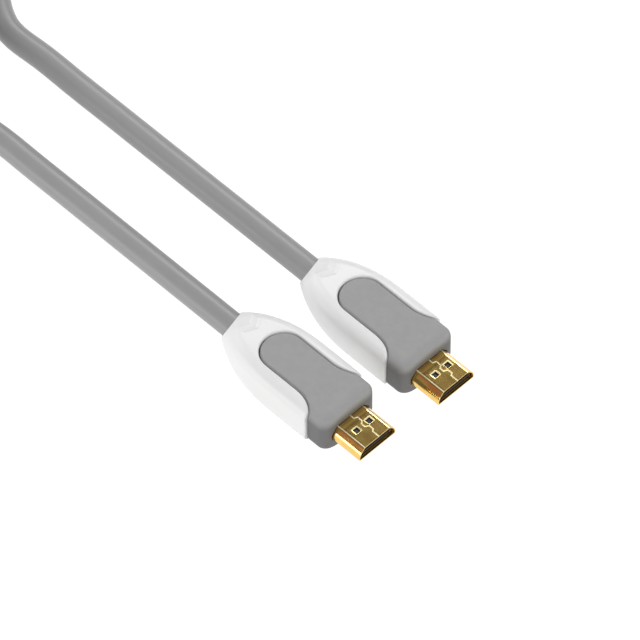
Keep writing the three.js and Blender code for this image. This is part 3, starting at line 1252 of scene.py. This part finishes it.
@dataclass(frozen=True)
class Lead:
    """The lead: straight behind both plugs, and its spare length in a coil just outside the view."""

    length: float = 1.5
    diameter: float = 7.7 * MM
    coil_centre_x: float = -194.35 * MM
    coil_half_width: float = 42.4 * MM
    coil_turns: float = 5.5
    coil_lanes: int = 6
    points_a_turn: int = 36
    ring_sides: int = 28
    step: float = 2.5 * MM
    run_a: tuple[Spot, ...] = (
        (-19.45, -14.3, 7.3), (-28.25, -14.3, 7.3), (-40.95, -14.25, 7.2), (-54.95, -13.98, 6.7),
        (-68.95, -13.56, 5.9), (-82.95, -13.13, 5.1), (-96.95, -12.76, 4.4), (-110.95, -12.55, 4.0),
        (-120.95, -12.5, 3.95), (-132.95, -14.2, 4.8), (-144.95, -18.2, 6.4), (-157.45, -24.0, 8.4),
        (-169.05, -30.5, 10.2), (-180.95, -36.1, 11.1),
    )
    run_b: tuple[Spot, ...] = (
        (-17.55, 14.3, 7.3), (-26.35, 14.3, 7.3), (-38.95, 14.35, 7.2), (-52.95, 14.62, 6.7),
        (-66.95, 15.04, 5.9), (-80.95, 15.47, 5.1), (-94.95, 15.84, 4.4), (-108.95, 16.05, 4.0),
        (-122.95, 16.1, 3.9), (-136.95, 16.1, 3.9), (-148.95, 16.3, 4.1), (-157.95, 20.8, 5.4),
        (-168.45, 29.2, 7.3), (-181.15, 35.5, 7.8),
    )
    merge: float = 0.001 * MM
    sharp_degrees: float = 60.0

    def coil(self) -> Array:
        """The coil's points: a circle whose lane goes on round the bundle's middle, one lane each turn."""
        turn = np.linspace(0.0, self.coil_turns, int(self.coil_turns * self.points_a_turn) + 1)
        lane_radius = self.diameter / (2 * np.sin(np.pi / self.coil_lanes))
        height = lane_radius + self.diameter / 2
        place = 2 * np.pi * turn
        lane = 2 * np.pi * turn / self.coil_lanes
        radius = self.coil_half_width - height + lane_radius * np.cos(lane)
        return np.stack([
            self.coil_centre_x - radius * np.sin(place),
            -radius * np.cos(place),
            height + lane_radius * np.sin(lane),
        ], -1)

    def path(self) -> Array:
        """The centre line from plug a to plug b, a natural cubic spline through all its points."""
        points = np.concatenate([np.array(self.run_a) * MM, self.coil(), np.array(self.run_b)[::-1] * MM])
        knots = np.concatenate([[0.0], np.cumsum(np.linalg.norm(np.diff(points, axis=0), axis=1))])
        gaps = np.diff(knots)
        count = len(points)
        system = np.eye(count)
        rhs = np.zeros((count, 3))
        slopes = np.diff(points, axis=0) / gaps[:, None]
        inner = np.arange(1, count - 1)
        system[inner, inner - 1] = gaps[:-1]
        system[inner, inner] = 2 * (gaps[:-1] + gaps[1:])
        system[inner, inner + 1] = gaps[1:]
        rhs[inner] = 6 * np.diff(slopes, axis=0)
        bends = np.linalg.solve(system, rhs)
        along = np.linspace(0.0, knots[-1], int(knots[-1] / self.step) + 1)
        k = np.clip(np.searchsorted(knots, along, side="right") - 1, 0, count - 2)
        left, right = (along - knots[k])[:, None], (knots[k + 1] - along)[:, None]
        width = gaps[k][:, None]
        cubic = (bends[k] * right**3 + bends[k + 1] * left**3) / (6 * width)
        start = (points[k] / width - bends[k] * width / 6) * right
        end = (points[k + 1] / width - bends[k + 1] * width / 6) * left
        return cubic + start + end

    def tube(self, name: str, path: Array) -> bpy.types.Object:
        """A round tube along the path: each ring is spanned by two normals of the path's tangent.

        Args:
            name: the piece's name.
            path: the centre line's points.

        Returns:
            The piece.
        """
        tangent = np.gradient(path, axis=0)
        tangent /= np.linalg.norm(tangent, axis=1, keepdims=True)
        across = np.cross(tangent, np.array([0.0, 0.0, 1.0]))
        across /= np.linalg.norm(across, axis=1, keepdims=True)
        over = np.cross(across, tangent)
        angle = np.linspace(0.0, 2 * np.pi, self.ring_sides + 1)
        aside, above = (wave(angle)[None, :, None] for wave in (np.cos, np.sin))
        rings = path[:, None] + self.diameter / 2 * (aside * across[:, None] + above * over[:, None])
        ends = [np.repeat(path[k][None, None], self.ring_sides + 1, 1) for k in (0, -1)]
        grid = np.concatenate([ends[0], rings, ends[1]])
        along = np.concatenate([[0.0], np.cumsum(np.linalg.norm(np.diff(path, axis=0), axis=1))])
        along = np.concatenate([along[:1], along, along[-1:]])
        uv = np.stack(np.broadcast_arrays(self.diameter / 2 * angle[None, :], along[:, None]), -1)
        skin = Skin()
        skin.add(grid)
        return skin.make(name, self.merge, self.sharp_degrees, uv.reshape(-1, 2))

    def build(self, material: bpy.types.Material) -> None:
        """Args:
            material: its material.
        """
        path = self.path()
        piece = self.tube("lead_look", path)
        dress(piece, material, Slot.JACKET, "lead_run_a", "lead_run_b", "lead_coil")
        tuple(path[0])


# The studio


@dataclass(frozen=True)
class PhotoCamera:
    """The camera: far away with a long lens, because the photograph has almost no perspective."""

    turn_degrees: float = 45.0
    down_degrees: float = 53.0
    pixels_per_metre: float = 3640.0
    picture_pixels: float = 640.0
    anchor_pixel: tuple[float, float] = (231.2, 324.6)
    sensor_mm: float = 36.0
    lens_mm: float = 500.0
    clip_start: float = 0.1
    clip_end: float = 20.0

    def build(self, anchor: Array) -> None:
        """Makes the camera and places it so that the anchor is seen at its pixel.

        Args:
            anchor: the middle of the mouth of plug a's cover.
        """
        turn, down = np.radians(self.turn_degrees), np.radians(self.down_degrees)
        right = np.array([np.cos(turn), np.sin(turn), 0.0])
        toward = np.array([np.sin(turn) * np.cos(down), -np.cos(turn) * np.cos(down), np.sin(down)])
        up = np.cross(toward, right)
        half = self.picture_pixels / 2
        aside = (half - self.anchor_pixel[0]) / self.pixels_per_metre
        below = (half - self.anchor_pixel[1]) / self.pixels_per_metre
        target = anchor + right * aside - up * below
        distance = self.lens_mm / self.sensor_mm * self.picture_pixels / self.pixels_per_metre
        data = bpy.data.cameras.new("photo_camera")
        data.sensor_width = self.sensor_mm
        data.lens = self.lens_mm
        data.clip_start = self.clip_start
        data.clip_end = self.clip_end
        camera = linked("photo_camera", data)
        matrix = np.eye(4)
        matrix[:3, :3] = np.stack([right, up, toward], -1)
        matrix[:3, 3] = target + toward * distance
        camera.matrix_world = Matrix(matrix.tolist())
        bpy.context.scene.camera = camera


@dataclass(frozen=True)
class Softbox:
    """One soft area light that faces the origin: its place, width and height, and its face's brightness."""

    name: str
    position: Spot
    size: tuple[float, float]
    glow: float
    colour: Colour = (1.0, 1.0, 1.0)

    def build(self) -> None:
        """Makes the light."""
        data = bpy.data.lights.new(self.name, "AREA")
        data.shape = "RECTANGLE"
        data.size, data.size_y = self.size
        data.color = self.colour
        data.energy = self.glow * np.pi * self.size[0] * self.size[1]
        lamp = linked(self.name, data)
        lamp.rotation_mode = "QUATERNION"
        lamp.rotation_quaternion = Vector(self.position).to_track_quat("Z", "Y")
        lamp.location = self.position


@dataclass(frozen=True)
class Studio:
    """A white floor and soft lights."""

    floor_half: float = 3.0
    floor_colour: Colour = (0.20, 0.20, 0.20)
    floor_roughness: float = 0.9
    floor_glow: float = 0.93
    sky: float = 0.13
    boxes: tuple[Softbox, ...] = (
        Softbox("key_box", (1.2, -1.2, 2.3), (1.4, 1.4), 6.0),
        Softbox("right_box", (1.3, 0.7, 0.75), (1.2, 1.2), 2.0),
        Softbox("rear_box", (-1.5, -0.1, 0.75), (1.2, 1.0), 2.1),
        Softbox("low_strip", (-0.66, -1.35, 0.14), (1.6, 0.26), 6.0),
        Softbox("back_strip", (-0.68, 0.97, 1.07), (1.2, 0.27), 10.5),
        Softbox("warm_card", (-0.64, -1.28, 0.62), (1.0, 0.45), 0.20, (1.0, 0.22, 0.10)),
    )

    def build(self) -> None:
        """Makes the floor, the sky and the lights."""
        half = self.floor_half
        mesh = bpy.data.meshes.new("floor")
        corners = [(-half, -half, 0), (half, -half, 0), (half, half, 0), (-half, half, 0)]
        mesh.from_pydata(corners, [], [(0, 1, 2, 3)])
        floor = linked("floor", mesh)
        paint = Paint("white_floor")
        shader = paint.node("ShaderNodeBsdfPrincipled", None, {
            "Base Color": (*self.floor_colour, 1.0),
            "Roughness": self.floor_roughness,
            "Specular IOR Level": 0.0,
            "Emission Color": (1.0, 1.0, 1.0, 1.0),
            "Emission Strength": self.floor_glow,
        })
        paint.tree.links.new(shader.outputs[0], paint.output.inputs["Surface"])
        mesh.materials.append(paint.material)
        world = bpy.data.worlds.new("sky")
        world.use_nodes = True
        background = world.node_tree.nodes["Background"]
        background.inputs["Color"].default_value = (1.0, 1.0, 1.0, 1.0)
        background.inputs["Strength"].default_value = self.sky
        bpy.context.scene.world = world
        bpy.context.scene.view_settings.view_transform = "Standard"
        for box in self.boxes:
            box.build()


def main() -> None:
    """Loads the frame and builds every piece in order."""
    logging.basicConfig(level=logging.INFO, format="%(name)s: %(message)s")
    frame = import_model()
    PhotoCamera().build(Plug("a").fitted()[1])
    finishes = {
        Slot.COVER: WHITE.material(),
        Slot.BODY: GREY.material(),
        Slot.SHELL: GOLD.material(),
        Slot.INSULATOR: BLACK.material(),
        Slot.CONTACTS: CONTACT_GOLD.material(),
        Slot.JACKET: JACKET.material(),
    }
    Lead().build(finishes[Slot.JACKET])
    for letter in "ab":
        Plug(letter).build(frame["nodes"], finishes)
    Studio().build()


if __name__ == "__main__":
    main()
